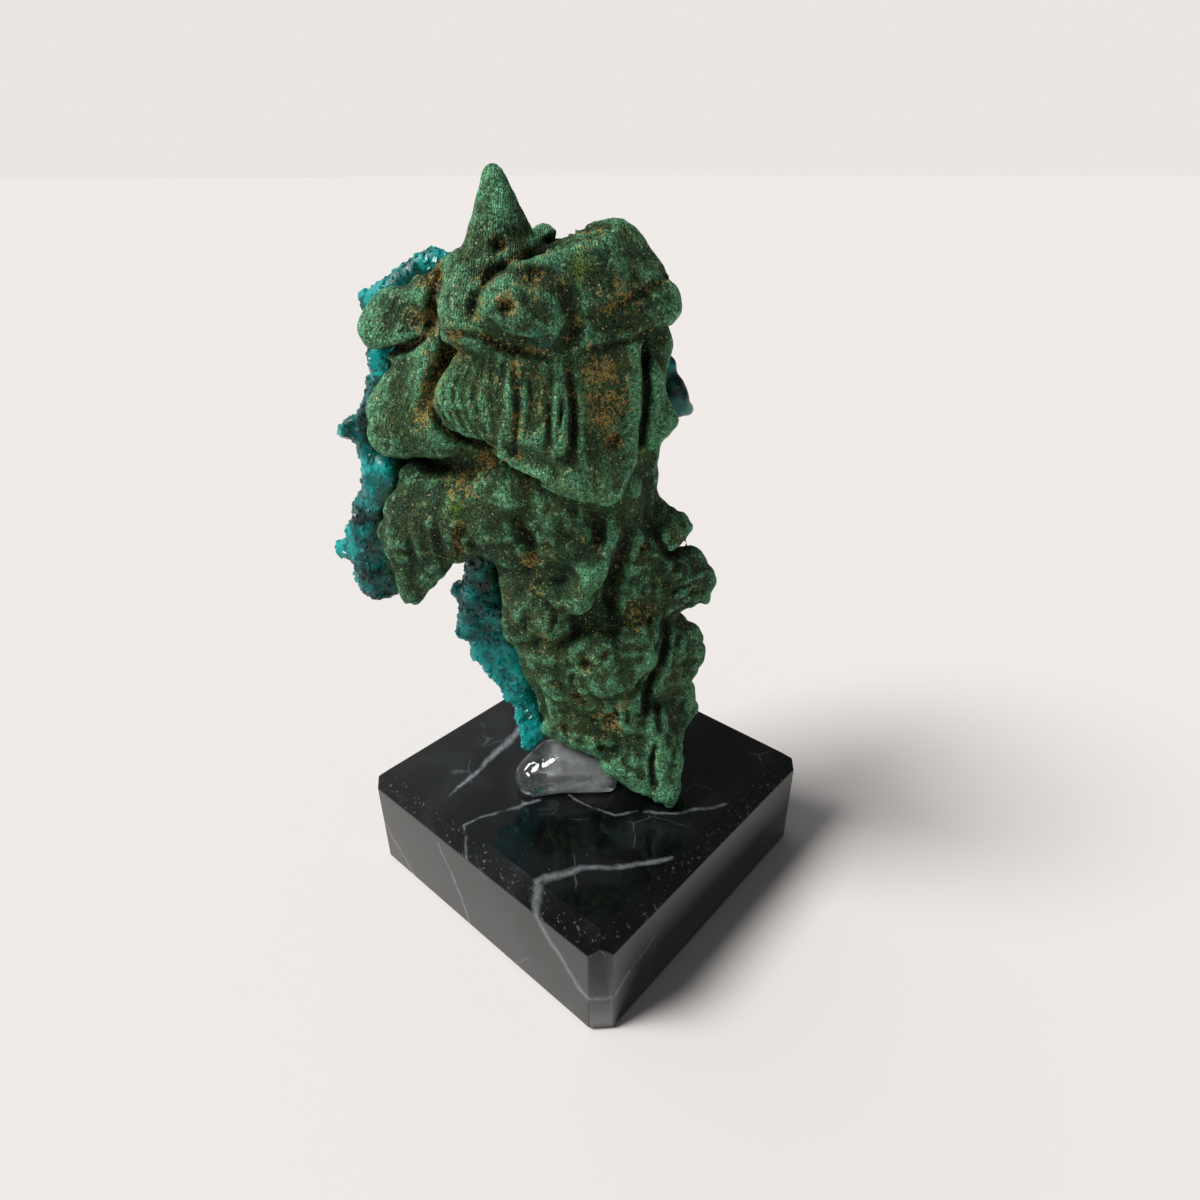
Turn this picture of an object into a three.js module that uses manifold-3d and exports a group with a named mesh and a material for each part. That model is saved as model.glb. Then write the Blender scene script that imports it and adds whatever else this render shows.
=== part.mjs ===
// Dioptase with malachite: a freeform mineral specimen glued on end to a polished black marble block.
// Millimetres, +Z up, origin at the centre of the block's underside. The block's sides lie along X and Y.
// The specimen stands across the block's diagonal, so it is modelled in a frame of its own, turned about Z:
// X runs across its broad face, -Y comes out of that face and Z is the height above the block's underside.
// The stone is a trunk of slabs with rounded lumps on it. A lump is the hull of a few balls, each written
// [x, y, rise, radius], where rise is the height above the level that the lump is modelled from.

import * as THREE from "three";
import { ConvexGeometry } from "three/addons/geometries/ConvexGeometry.js";
import { mergeVertices } from "three/addons/utils/BufferGeometryUtils.js";
import Module from "manifold-3d";

// Driving dimensions.
const blockSide = 50;
const blockHeight = 18;
const topBevel = 2.5; // leg of the 45 degree chamfer round the top
const cornerBevel = 2.3; // leg of the chamfer on each standing corner
const footArris = 0.6; // the small bevel round the underside
const specimenTurn = 42; // degrees about Z
const gap = 0.3; // clearance between neighbouring pieces
const cuttingGap = gap * 1.1; // a little more, because a faceted ball falls short of its radius
const sameCorner = 1e-5; // corners closer than this are one

// The trunk: its two thin edges lie in one plane and its thick heart between them.
const trunkPlane = -1; // y of the edges
const trunkEdge = 1.8; // radius of the edges
const trunkHeart = 4.8; // radius of the heart

// The sheet of crust over the trunk's back.
const backPlane = 4.4;
const backEdge = 2.8;
const backHeart = 4;
const backInset = 2.5; // how far the sheet stops short of the trunk's edges

// Levels that the stone is modelled from, as heights above the block's underside.
const toeLevel = blockHeight + 2;
const bellyLevel = blockHeight + 24;
const neckLevel = blockHeight + 44;
const faceLevel = blockHeight + 68;
const crownLevel = blockHeight + 74;

const crystalReach = 2; // how far a dioptase prism stands out of the crust
const crystalRadius = 1.5;
const finelyFacetedFrom = 3.3; // balls of at least this radius are rounder

const wasm = await Module();
wasm.setup();

// ---------------------------------------------------------------- joining and cutting

// Turns a closed three.js geometry into a solid that can be joined and cut.
function toSolid(geometry) {
  const bare = geometry.clone();
  bare.deleteAttribute("normal");
  bare.deleteAttribute("uv");
  const merged = mergeVertices(bare, sameCorner);
  const vertProperties = new Float32Array(merged.attributes.position.array);
  const triVerts = new Uint32Array(merged.index.array);
  return new wasm.Manifold(new wasm.Mesh({ numProp: 3, vertProperties, triVerts }));
}

// Turns a solid back into a geometry with flat faces.
function toGeometry(solid) {
  const { vertProperties, triVerts } = solid.getMesh();
  const geometry = new THREE.BufferGeometry();
  geometry.setAttribute("position", new THREE.BufferAttribute(new Float32Array(vertProperties), 3));
  geometry.setIndex(new THREE.BufferAttribute(new Uint32Array(triVerts), 1));
  geometry.computeVertexNormals();
  return geometry;
}

function join(solids) {
  return solids.reduce((whole, solid) => whole.add(solid));
}

// The largest connected shell is the piece: chips left by a cut and closed pockets inside are dropped.
function largestBody(solid) {
  const bodies = solid.decompose();
  return bodies.reduce((best, body) => (body.volume() > best.volume() ? body : best));
}

// ---------------------------------------------------------------- rounded lumps

// A ball worn smooth, with fewer facets where it is small.
function roundBall(radius) {
  const Ball = radius < finelyFacetedFrom ? THREE.OctahedronGeometry : THREE.IcosahedronGeometry;
  return new Ball(radius, 1);
}

// A ball left as the twenty flat faces of broken crystal.
function roughBall(radius) {
  return new THREE.IcosahedronGeometry(radius, 0);
}

// The hull of balls [x, y, z, radius], each radius grown by extra.
function lump(balls, extra = 0, makeBall = roundBall) {
  const points = [];
  for (const [x, y, z, radius] of balls) {
    const ball = makeBall(radius + extra).attributes.position;
    for (let i = 0; i < ball.count; i += 1) {
      points.push(new THREE.Vector3(x + ball.getX(i), y + ball.getY(i), z + ball.getZ(i)));
    }
  }
  return toSolid(new ConvexGeometry(points));
}

// Sets lumps up at a level.
function raised(level, lumps) {
  return lumps.map((balls) => balls.map(([x, y, rise, radius]) => [x, y, level + rise, radius]));
}

// A stack of slabs, each the hull of two neighbouring rows. A row is [rise above the block, left, right]. It
// has a thin edge at each end, lying in the plane y, and two heart balls a quarter of the way in from them.
function slabs(rows, y, edge, heart) {
  const rings = rows.map(([rise, left, right]) => {
    const z = blockHeight + rise;
    const quarter = (right - left) / 4;
    return [
      [left + edge, y, z, edge],
      [left + quarter, y, z, heart],
      [right - quarter, y, z, heart],
      [right - edge, y, z, edge],
    ];
  });
  return rings.slice(1).map((ring, index) => [...rings[index], ...ring]);
}

// ---------------------------------------------------------------- the malachite

// The trunk is narrow at the foot, waisted at the neck and broad at the head.
const trunkRows = [
  [11, -7, 13.5], [19, -9.5, 14], [26, -11, 14], [33, -12, 13.5], [39, -12.5, 12], [44.5, -14, 9.5],
  [50, -18, 9.5], [57, -23, 10], [65, -22, 10.5], [71, -20, 9],
];
const trunk = slabs(trunkRows, trunkPlane, trunkEdge, trunkHeart);

// The horn: a blunt spike, its root running down the face, a shoulder to its right and a knob behind it.
const horn = raised(crownLevel, [
  [[-9, -4, 8.8, 1.1], [-8.8, -4, 5, 2.8], [-8.7, -4, 1, 4.1]],
  [[-9.5, -5.5, 1, 2.8], [-11.8, -7.5, -1.5, 2.2], [-13.9, -8.5, -6, 1.6]],
  [[-5.6, -5.5, 2, 1.4], [-8.4, -7, 0.8, 1.8], [-11, -7.5, -1, 2]],
  [[-4.2, 1, 1.8, 1.8], [-2.6, 1, 1, 1.8], [-5, 0, -1, 2.8]],
]);

// The crown right of the horn: a rolled crest behind, and a leaf that curls forward over the nose.
const crown = raised(crownLevel, [
  [[-1.8, 0, 1, 1.9], [0.2, 0, 2, 2], [4, 0, 3, 2], [5, 0, 2.6, 1.9], [1.5, -3, -1.5, 3.8]],
  [[5, 0, 2.6, 1.8], [6.2, -1, 0.2, 1.9], [8.7, -1.6, -1.9, 1.8], [4, -3, -4, 3.2]],
  [[-6.6, -8.5, -0.3, 1.1], [-1.6, -9, 1.1, 1.2], [2.3, -8.2, 2, 1.2], [-1, -7.5, -2.4, 2.8]],
  [[2.3, -8.2, 2, 1.2], [3.5, -7.5, 0.3, 1.5], [2.8, -6.5, -2.6, 3], [-1, -7.5, -2.4, 2.8]],
]);

// The nose: the bluff lump that stands furthest forward.
const nose = raised(faceLevel, [
  [[-7.9, -11, 3.6, 3.1], [-6, -12, 3, 2.6], [-4, -11.2, 2.4, 2.8]],
]);

// The arm: two rolls, one over the other, that reach out to the right.
const arm = raised(faceLevel, [
  [[2.5, -6, 4, 3], [7.4, -4, 3.6, 2.3], [9.3, -3.5, 3, 1.9]],
  [[1, -7, 1.3, 2.8], [5.5, -5.4, 1.2, 2.6], [9.4, -4, 1.8, 1.9]],
]);

// The folds left of the nose: one under the crust's rim, a round one, a long one and the bulge beside it.
const leftFolds = raised(faceLevel, [
  [[-19.8, 0, 1.6, 1.7], [-16.6, 0, 4, 1.6], [-13.6, -1, 4.2, 2.4], [-17, -1, 1.5, 2.6]],
  [
    [-23.7, -2, -0.7, 2.5], [-22, -2, 1.4, 2.2], [-22.8, -2.5, -1.8, 2.1], [-17, -4, 2, 2],
    [-17, -4.5, -0.8, 2.2],
  ],
  [
    [-20.8, -3.5, -4.8, 1.5], [-17, -5, -4.6, 2], [-23.9, -3, -9.8, 2.5], [-23.9, -3, -12.9, 2.6],
    [-17, -5, -12.6, 2.8],
  ],
  [
    [-12.6, -8.5, -3.4, 2], [-14.4, -8.5, -6.6, 2.3], [-12.7, -8.8, -9.3, 2.4],
    [-9, -9.6, -4.2, 2.2], [-8.6, -10.2, -9.8, 2.4],
  ],
]);

// The curtain: the ribbed sheet under the nose, the hollow panel right of it, the skirt that overhangs the
// neck, and the fin along the right side.
const curtain = raised(faceLevel, [
  [[-8, -9.4, -2, 2.3], [-2.6, -9.4, -1.6, 2.4], [-8.6, -10.2, -10.6, 2.4], [-2, -10.6, -12, 2.4]],
  [[0.6, -8.4, -1, 2.4], [5, -6.6, -0.8, 2.2], [4.4, -8, -12, 2.2], [0.4, -9, -12.6, 2.8]],
  [[-8.6, -10, -12.6, 2], [-5.6, -11, -14.3, 1.9], [-1, -11, -15.9, 2], [0, -9.4, -12, 2.8]],
  [[-1, -11, -15.9, 2], [3.2, -10.5, -17, 2], [4.6, -8.8, -14, 2], [0, -9.4, -12, 2.8]],
  [
    [7.9, -5, -4.4, 1.2], [8.6, -5, -7.7, 1.3], [9.8, -4.5, -11, 1.3], [8.2, -5, -13.2, 1.3],
    [5.8, -4.6, -9, 2.2],
  ],
]);

// The wing: the ledge that stands out to the left below the head, with a tooth hanging from its underside.
const wing = raised(neckLevel, [
  [
    [-21, -2.5, 5.4, 2.5], [-24.9, -3, -2.2, 2.6], [-24, -3, -5, 2.3], [-16, -5, 3.4, 3.2],
    [-15.5, -4.5, -2.4, 2.8],
  ],
  [[-23.7, -3, -11, 1.8], [-24, -3, -7, 1.9], [-19.8, -3.6, -5.6, 2]],
]);

// The neck, and the lobes that step out down its right side to the foot.
const neck = raised(neckLevel, [
  [[-15, -4.6, 4, 3.4], [-9, -5.5, 5, 3.6], [-9, -5, -3, 3.4], [-14, -3.6, -2, 2.8]],
  [[-4, -5.6, 5, 3.8], [4, -3.6, 5, 3.6], [-5, -5, -4, 3.6], [5, -3, -3.5, 3.8]],
]);
const rightLobes = raised(neckLevel, [
  [[11.4, -1, -2.4, 2.9], [8, -1, 0.4, 2.2], [8, -2, -5, 3.4]],
  [[15, -1, -7, 1.3], [16.7, -1, -9.8, 1.6], [16.3, -1, -12.6, 1.6], [10, -2, -8, 3.4], [9.5, -2, -13, 3.4]],
  [
    [15, -1, -19.2, 1.7], [15.4, -1, -23, 1.7], [13.4, -1, -27, 1.8], [9.5, -2, -17, 3.4],
    [9.5, -2, -26, 3.4],
  ],
  [[13.6, -1, -28, 1.8], [15.5, -0.5, -33.6, 1.5], [13.6, -1.5, -37, 1.6], [9.5, -2, -31, 3.4]],
]);

// The lower body: a slanting fold, the bulge left of it, the belly, its ear at the right, and the shin.
const lowerBody = raised(bellyLevel, [
  [[3.2, -7, 19, 1.7], [1, -7.6, 15, 1.8], [-1, -7.4, 10.5, 2.2], [-1, -4, 14, 3]],
  [[-9.4, -4.4, 15, 2.4], [-8.8, -4.6, 4, 2.6], [-4.5, -6, 11, 2.8], [-4.4, -6, 5, 2.8]],
  [[-6, -5.6, 1, 3.2], [2.4, -6, 2, 3.2], [-4, -6, -3.4, 3], [3.4, -6.4, -3, 3.2]],
  [[8.8, -6, 5, 1.5], [8, -6.4, 0.6, 1.6], [5.9, -6.8, -2.6, 1.6], [4, -5, 2.4, 2.8]],
  [[-3.6, -4.8, -5.6, 2.8], [5, -6, -6, 3.2], [-3, -4.8, -10.6, 2.8], [6, -6.2, -11, 3.2]],
]);

// The foot: a toe whose tip meets the block, a flank behind it and a heel arched over the glue.
const foot = raised(toeLevel, [
  [
    [12.2, -10.6, -0.1, 1.6], [7.5, -7.8, 1.4, 2.2], [12.2, -8.6, 4.5, 2], [4.8, -6.8, 4, 2.5],
    [8.5, -6, 10, 3.4],
  ],
  [[12.4, -7.8, 0.6, 1.5], [12.6, -4.6, 4, 1.7], [13.6, -1.4, 7, 1.6], [9.5, -4, 8, 3]],
  [[-4.6, -4.6, 8.4, 2.4], [0.6, -6, 8, 2.6], [-3, -4, 13, 3], [5, -6, 9.5, 3]],
]);

const malachiteLumps = [
  trunk, horn, crown, nose, arm, leftFolds, curtain, wing, neck, rightLobes, lowerBody, foot,
].flat();

const malachite = largestBody(join(malachiteLumps.map((balls) => lump(balls))));

// The malachite a little larger all round, for cutting back what meets it.
const malachiteClearance = join(malachiteLumps.map((balls) => lump(balls, cuttingGap)));

// ---------------------------------------------------------------- the glue

// A slab under everything that must stay clear of the block's top.
function belowBlockTop() {
  const slabHeight = 2 * blockHeight;
  const slab = new THREE.BoxGeometry(3 * blockSide, 3 * blockSide, slabHeight);
  slab.translate(0, 0, blockHeight + gap - slabHeight / 2);
  return toSolid(slab);
}

// Clear hot glue pooled under the arch of the foot, wider at the left, flat where it lies on the block.
const glueLumps = raised(toeLevel, [
  [[-8.4, -5.2, -0.4, 2.9], [-6, -3, 1, 3], [-4, -4.2, 1.3, 3.2]],
  [[-4, -4.2, 1.3, 3.2], [2.5, -4.2, 0.6, 2.9], [-2, 0, 1, 3], [3, -1, 1, 3]],
]);

const glueBlob = join(glueLumps.map((balls) => lump(balls)));
const glue = largestBody(glueBlob.subtract(malachiteClearance).subtract(belowBlockTop()));
const glueClearance = join(glueLumps.map((balls) => lump(balls, cuttingGap)));

// ---------------------------------------------------------------- the dioptase

// The rim of the crust, seen round the malachite's left margin from the crown down to the wing, and as a
// wedge at the right of the head.
const crustRim = [
  ...raised(crownLevel, [
    [[-17.6, 2.6, 0.2, 1.7], [-21.2, 2.6, -1.6, 1.7], [-24.2, 2, -4.2, 1.7], [-19, 5, -5, 3.2]],
    [[-17.6, 2.6, 0.2, 1.7], [-14.4, 2.4, -0.6, 1.6], [-15, 4, -5, 3.2]],
  ]),
  ...raised(faceLevel, [
    [[-25, 1.4, -4.2, 1.9], [-24.6, 1.4, -7.4, 1.9], [-21, 5, -4, 3.2]],
    [[-24.6, 1.4, -7.4, 1.9], [-26.2, 1.4, -10.4, 1.9], [-27.6, 1, -14, 2], [-22, 5, -10, 3.2]],
    [[-27.6, 1, -14, 2], [-27, 0.4, -17, 2], [-22, 4, -15, 3.2]],
    [[10.6, 3.4, -5.8, 1.5], [13, 3.4, -11.4, 1.3], [10.4, 3.4, -12, 1.6], [6.5, 5, -9, 3.4]],
  ]),
  ...raised(neckLevel, [
    [[-26.8, 0, 6, 1.8], [-28.3, 0, 1, 1.8], [-24.8, -1.5, 6, 1.9], [-26, -1.5, 1, 1.9], [-23.5, 3, 5, 3]],
    [
      [-28.4, 0, 0.6, 1.8], [-30.7, 0, -3, 1.8], [-31.2, 0, -5.6, 1.8], [-27.5, -1, -4, 2.1],
      [-25.5, 2, -2, 2.8],
    ],
    [[-31, 0, -6.4, 1.7], [-30.4, -0.5, -10.4, 1.7], [-29.4, -1, -12.4, 1.4], [-27.6, -1, -8.6, 1.9]],
  ]),
];

// The ledge: the crust in the corner under the wing, stepping down the left of the body to the glue.
const crustLedge = [
  ...raised(neckLevel, [
    [[-15.8, -0.5, -12.4, 1.9], [-14.4, -1, -6, 2.4], [-12.5, 1, -10, 3.4], [-8, 5, -9, 3.4]],
  ]),
  ...raised(bellyLevel, [
    [[-17.8, 0.5, 0.6, 1.7], [-15.8, 0, 6.4, 2], [-12.6, 2, 2, 3.6], [-8, 5, 3, 3.6]],
    [[-15.8, 0.5, -2, 1.8], [-13.4, 0, -6, 1.8], [-12, 2, -1, 3], [-8, 4, -3, 3.2]],
    [[-13.4, 0, -6, 1.8], [-10.8, 0, -10.6, 1.7], [-8.6, 2, -5, 3]],
  ]),
  ...raised(toeLevel, [
    [[-10.2, 0, 10.6, 1.6], [-9.7, -0.8, 7, 1.5], [-9.2, -1.8, 3, 1.4], [-6.4, 1, 8, 2.6]],
  ]),
];

// The back of the crust: a sheet behind the whole trunk, carried down behind the foot.
const backRows = trunkRows.map(([rise, left, right]) => [rise, left + backInset, right - backInset]);
const crustBack = [
  ...slabs(backRows, backPlane, backEdge, backHeart),
  ...raised(toeLevel, [
    [[-5, 2, 6, 2.6], [3, 3, 7, 3.6], [8, 2, 6.4, 2.6], [1, 4, 14, 3.6]],
  ]),
  ...raised(neckLevel, [
    [[-24, 3, 6, 2.8], [-27, 2, -4, 2.4], [-14, 5, 3, 3.4], [-14, 4, -7, 2.8]],
  ]),
];

const crustBed = [...crustRim, ...crustLedge, ...crustBack];

// A short six-sided dioptase prism with a three-faced tip, rooted at base and pointing along direction.
function crystal(base, direction, radius, length, twist) {
  const tipSlope = 0.9;
  const points = [new THREE.Vector3(0, 0, length)];
  for (let corner = 0; corner < 6; corner += 1) {
    const angle = (corner * Math.PI) / 3;
    const x = radius * Math.cos(angle);
    const y = radius * Math.sin(angle);
    const drop = radius * tipSlope * (corner % 2 === 0 ? 1 : 0.5);
    points.push(new THREE.Vector3(x, y, 0), new THREE.Vector3(x, y, length - drop));
  }
  const turn = new THREE.Quaternion().setFromUnitVectors(new THREE.Vector3(0, 0, 1), direction);
  turn.multiply(new THREE.Quaternion().setFromAxisAngle(new THREE.Vector3(0, 0, 1), twist));
  return toSolid(new ConvexGeometry(points.map((point) => point.applyQuaternion(turn).add(base))));
}

// A crystal stands on every second ball of the bed, leaning away from the heart of the stone. The golden
// angle spreads the leans and twists so that no two neighbours are parallel.
function crystalsOn(bed) {
  const goldenAngle = Math.PI * (3 - Math.sqrt(5));
  const leaning = 0.45; // how far a crystal leans, as a share of its length
  const heart = { x: -8, y: -3, halfWidth: 14, halfDepth: 6 };
  const everyOther = bed.flat().filter((_, index) => index % 2 === 0);
  const crystals = [];
  for (const [x, y, z, radius] of everyOther) {
    const twist = crystals.length * goldenAngle;
    const outward = new THREE.Vector3((x - heart.x) / heart.halfWidth, (y - heart.y) / heart.halfDepth, 0);
    const lean = new THREE.Vector3(Math.cos(twist), Math.sin(twist), Math.sin(2 * twist));
    const direction = outward.normalize().addScaledVector(lean, leaning).normalize();
    const size = 0.8 + 0.2 * Math.cos(3 * twist); // from 0.6 to 1
    const length = radius + crystalReach * size;
    crystals.push(crystal(new THREE.Vector3(x, y, z), direction, crystalRadius * size, length, twist));
  }
  return crystals;
}

const crust = join([...crustBed.map((balls) => lump(balls, 0, roughBall)), ...crystalsOn(crustBed)]);
const dioptase = largestBody(
  crust.subtract(malachiteClearance).subtract(glueClearance).subtract(belowBlockTop()),
);

// ---------------------------------------------------------------- the block

// The block's four corners, each as the signs of its X and Y.
const corners = [[1, 1], [-1, 1], [-1, -1], [1, -1]];

// One level of the block's outline: a square, drawn in by inset, with its corners cut.
function blockRing(inset, z) {
  const half = blockSide / 2 - inset;
  return corners.flatMap(([sx, sy]) => [
    new THREE.Vector3(sx * (half - cornerBevel), sy * half, z),
    new THREE.Vector3(sx * half, sy * (half - cornerBevel), z),
  ]);
}

// One point on each corner's diagonal.
function blockDiagonals(inset, z) {
  const half = blockSide / 2 - inset;
  return corners.map(([sx, sy]) => new THREE.Vector3(sx * half, sy * half, z));
}

// The top's bevels meet in mitres that run down the diagonals to a peak on each cut corner.
function blockGeometry() {
  const shoulder = blockHeight - topBevel;
  return new ConvexGeometry([
    ...blockRing(footArris, 0),
    ...blockRing(0, footArris),
    ...blockRing(0, shoulder),
    ...blockDiagonals(cornerBevel / 2, shoulder + cornerBevel / 2),
    ...blockDiagonals(topBevel, blockHeight),
  ]);
}

// ---------------------------------------------------------------- the scene graph

function mesh(name, geometry, material) {
  const piece = new THREE.Mesh(geometry, new THREE.MeshStandardMaterial(material));
  piece.name = name;
  return piece;
}

const malachiteLook = { color: 0x1d5a3c, roughness: 0.85, metalness: 0 };
const dioptaseLook = { color: 0x0a7f86, roughness: 0.25, metalness: 0 };
const glueLook = { color: 0xd8dedb, roughness: 0.12, metalness: 0 };
const marbleLook = { color: 0x121316, roughness: 0.12, metalness: 0 };

const specimen = new THREE.Group();
specimen.rotation.z = THREE.MathUtils.degToRad(specimenTurn);
specimen.add(mesh("malachite_body", toGeometry(malachite), malachiteLook));
specimen.add(mesh("dioptase_crust", toGeometry(dioptase), dioptaseLook));
specimen.add(mesh("adhesive", toGeometry(glue), glueLook));

const part = new THREE.Group();
part.add(mesh("marble_base", blockGeometry(), marbleLook));
part.add(specimen);

export default part;
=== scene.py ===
import math

import bmesh
import bpy
import numpy as np
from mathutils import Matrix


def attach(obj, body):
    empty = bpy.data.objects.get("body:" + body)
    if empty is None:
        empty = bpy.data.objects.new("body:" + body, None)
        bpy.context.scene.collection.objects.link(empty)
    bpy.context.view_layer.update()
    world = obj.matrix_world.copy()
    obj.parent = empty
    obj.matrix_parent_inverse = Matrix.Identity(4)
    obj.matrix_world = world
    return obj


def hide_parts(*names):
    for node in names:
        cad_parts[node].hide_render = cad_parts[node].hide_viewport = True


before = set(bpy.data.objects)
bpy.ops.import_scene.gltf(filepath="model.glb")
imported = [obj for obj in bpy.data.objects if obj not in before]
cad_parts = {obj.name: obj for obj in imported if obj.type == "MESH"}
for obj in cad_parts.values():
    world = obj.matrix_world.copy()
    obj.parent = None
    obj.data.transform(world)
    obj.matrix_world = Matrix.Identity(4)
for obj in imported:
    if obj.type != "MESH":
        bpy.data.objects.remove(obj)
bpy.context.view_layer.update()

import openvdb
from mathutils import Vector

# ---------------------------------------------------------------------------------------------
# The malachite body: one folded mass of fibrous malachite, velvety on its skin, with sharp creases
# between the folds. It is worked as a carver works a block, on a grid of distances to the surface:
# the rough body first, then its face is worked in relief, then all of it is roughened.
# ---------------------------------------------------------------------------------------------
# The sections for the stone and the glue work in millimetres in the stone's own frame: x runs across its
# broad face, -y comes out of that face and z is the height above the underside of the block.
MM = 0.001
STONE_TURN = math.radians(42)
# The block's corners, and the height of its top, which the stone and the glue come down to.
marble = np.array([vertex.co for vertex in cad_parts["marble_base"].data.vertices]) / MM
TOP = round(float(marble[:, 2].max()), 2)
# The space the body stands in, and how fine its grid is.
BODY_LOW, BODY_HIGH, BODY_STEP = (-32, -20, TOP - 0.5), (22, 13, 105), 0.32
# How many of its faces are kept, and how far apart its threads lie.
BODY_SHARE = 0.74
FINE_THREAD, BROAD_THREAD = 0.5, 1.3
# The threads fan out from this place (x, z) above the horn, and have their full spacing this far off.
THREAD_ROOT = (-8, 112)
THREAD_REACH = 32


def to_stone(points):
    """The shared frame, metres, to the stone's frame, millimetres."""
    c, s = math.cos(STONE_TURN), math.sin(STONE_TURN)
    p = np.asarray(points) / MM
    return np.stack([p[:, 0] * c + p[:, 1] * s, -p[:, 0] * s + p[:, 1] * c, p[:, 2]], axis=1)


def to_shared(points):
    """The stone's frame, millimetres, to the shared frame, metres."""
    c, s = math.cos(STONE_TURN), math.sin(STONE_TURN)
    p = np.asarray(points) * MM
    return np.stack([p[:, 0] * c - p[:, 1] * s, p[:, 0] * s + p[:, 1] * c, p[:, 2]], axis=1)


def surface_of(mesh):
    """A mesh's points, and its triangles as rows of three point numbers."""
    mesh.calc_loop_triangles()
    points = np.empty(len(mesh.vertices) * 3, dtype=np.float32)
    mesh.vertices.foreach_get("co", points)
    corners = np.empty(len(mesh.loop_triangles) * 3, dtype=np.int32)
    mesh.loop_triangles.foreach_get("vertices", corners)
    return points.reshape(-1, 3), corners.reshape(-1, 3)


def placed(mesh, name):
    """A mesh as a piece in the scene."""
    piece = bpy.data.objects.new(name, mesh)
    bpy.context.scene.collection.objects.link(piece)
    return piece


class Block:
    """A grid of distances to a surface, less than zero inside it."""

    def __init__(self, low, high, step):
        self.low = np.floor(np.array(low) / step).astype(int)
        self.step = step
        count = np.ceil(np.array(high) / step).astype(int) - self.low
        self.d = np.zeros(count, dtype=np.float32)
        self.axes = [(self.low[i] + np.arange(count[i])) * step for i in range(3)]

    def take_body(self, node):
        """Starts from a CAD node's own surface."""
        points, corners = surface_of(node.data)
        grid = openvdb.FloatGrid.createLevelSetFromPolygons(
            to_stone(points).astype(np.float32),
            triangles=corners.astype(np.uint32),
            transform=openvdb.createLinearTransform(voxelSize=self.step),
            halfWidth=10.0,
        )
        grid.copyToArray(self.d, ijk=tuple(int(i) for i in self.low))

    def soften(self, passes):
        """Rounds every edge and crease a little."""
        self.d = softened(self.d, passes)

    def region(self, balls, margin):
        """The part of the grid near some balls [x, y, z, radius], and the places of its cells."""
        balls = np.array(balls, dtype=float)
        low = (balls[:, :3] - balls[:, 3:]).min(axis=0) - margin
        high = (balls[:, :3] + balls[:, 3:]).max(axis=0) + margin
        first = np.clip(np.floor(low / self.step).astype(int) - self.low, 0, self.d.shape)
        last = np.clip(np.ceil(high / self.step).astype(int) - self.low + 1, 0, self.d.shape)
        near = tuple(slice(a, b) for a, b in zip(first, last))
        places = np.meshgrid(*[self.axes[i][near[i]] for i in range(3)], indexing="ij")
        return near, np.stack(places, axis=-1).astype(np.float32)

    def add(self, balls, blend):
        """Joins a chain of balls on, with a fillet."""
        near, places = self.region(balls, 2 * blend + 1)
        self.d[near] = soft_least(self.d[near], chain_distance(places, balls), blend)

    def sample(self, values, points):
        """The grid of values read between its cells at some points."""
        place = np.asarray(points) / self.step - self.low
        corner = np.clip(np.floor(place).astype(int), 0, np.array(values.shape) - 2)
        part = np.clip(place - corner, 0, 1)
        total = 0
        for i in (0, 1):
            for j in (0, 1):
                for k in (0, 1):
                    share = (
                        np.where(i, part[:, 0], 1 - part[:, 0])
                        * np.where(j, part[:, 1], 1 - part[:, 1])
                        * np.where(k, part[:, 2], 1 - part[:, 2])
                    )
                    total = total + share * values[corner[:, 0] + i, corner[:, 1] + j, corner[:, 2] + k]
        return total

    def front(self):
        """How far forward (y) the surface comes, for each x and z of the grid."""
        inside = self.d < 0
        return np.where(inside.any(axis=1), self.axes[1][inside.argmax(axis=1)], self.axes[1][-1])

    def on_front(self, sheet, points, reach=3.0):
        """A sheet of values (x, z) read at points, fading out behind the front surface."""
        first, last = self.low[0], self.low[2]
        column = np.clip((points[:, 0] / self.step - first).astype(int), 0, sheet.shape[0] - 1)
        row = np.clip((points[:, 2] / self.step - last).astype(int), 0, sheet.shape[1] - 1)
        behind = points[:, 1] - self.front()[column, row]
        return sheet[column, row] * np.clip(1.5 - behind / reach, 0, 1)

    def to_mesh(self):
        """Points in the stone's frame, and quads."""
        grid = openvdb.FloatGrid(background=4.0)
        grid.copyFromArray(self.d, ijk=tuple(int(i) for i in self.low))
        grid.transform = openvdb.createLinearTransform(voxelSize=self.step)
        points, _, quads = grid.convertToPolygons(isovalue=0.0, adaptivity=0.0)
        return points, quads


def softened(values, passes):
    """Values averaged with their neighbours, so many times over."""
    for _ in range(passes):
        for axis in range(3):
            values = 0.5 * values + 0.25 * (np.roll(values, -1, axis) + np.roll(values, 1, axis))
    return values


def soft_least(a, b, blend):
    """The lesser of two distances, with a fillet of about blend where they meet."""
    reach = np.maximum(blend - np.abs(a - b), 0) / blend
    return np.minimum(a, b) - reach * reach * blend * 0.25


def chain_distance(places, balls):
    """Distance to a chain of balls [x, y, z, radius], each tapering into the next."""
    if len(balls) == 1:
        return np.linalg.norm(places - np.array(balls[0][:3]), axis=-1) - balls[0][3]
    nearest = None
    for start, end in zip(balls[:-1], balls[1:]):
        a = np.array(start[:3], dtype=np.float32)
        ab = np.array(end[:3], dtype=np.float32) - a
        t = np.clip(((places - a) @ ab) / max(float(ab @ ab), 1e-6), 0, 1)
        radius = start[3] + (end[3] - start[3]) * t
        distance = np.linalg.norm(places - a - t[..., None] * ab, axis=-1) - radius
        nearest = distance if nearest is None else np.minimum(nearest, distance)
    return nearest


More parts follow.
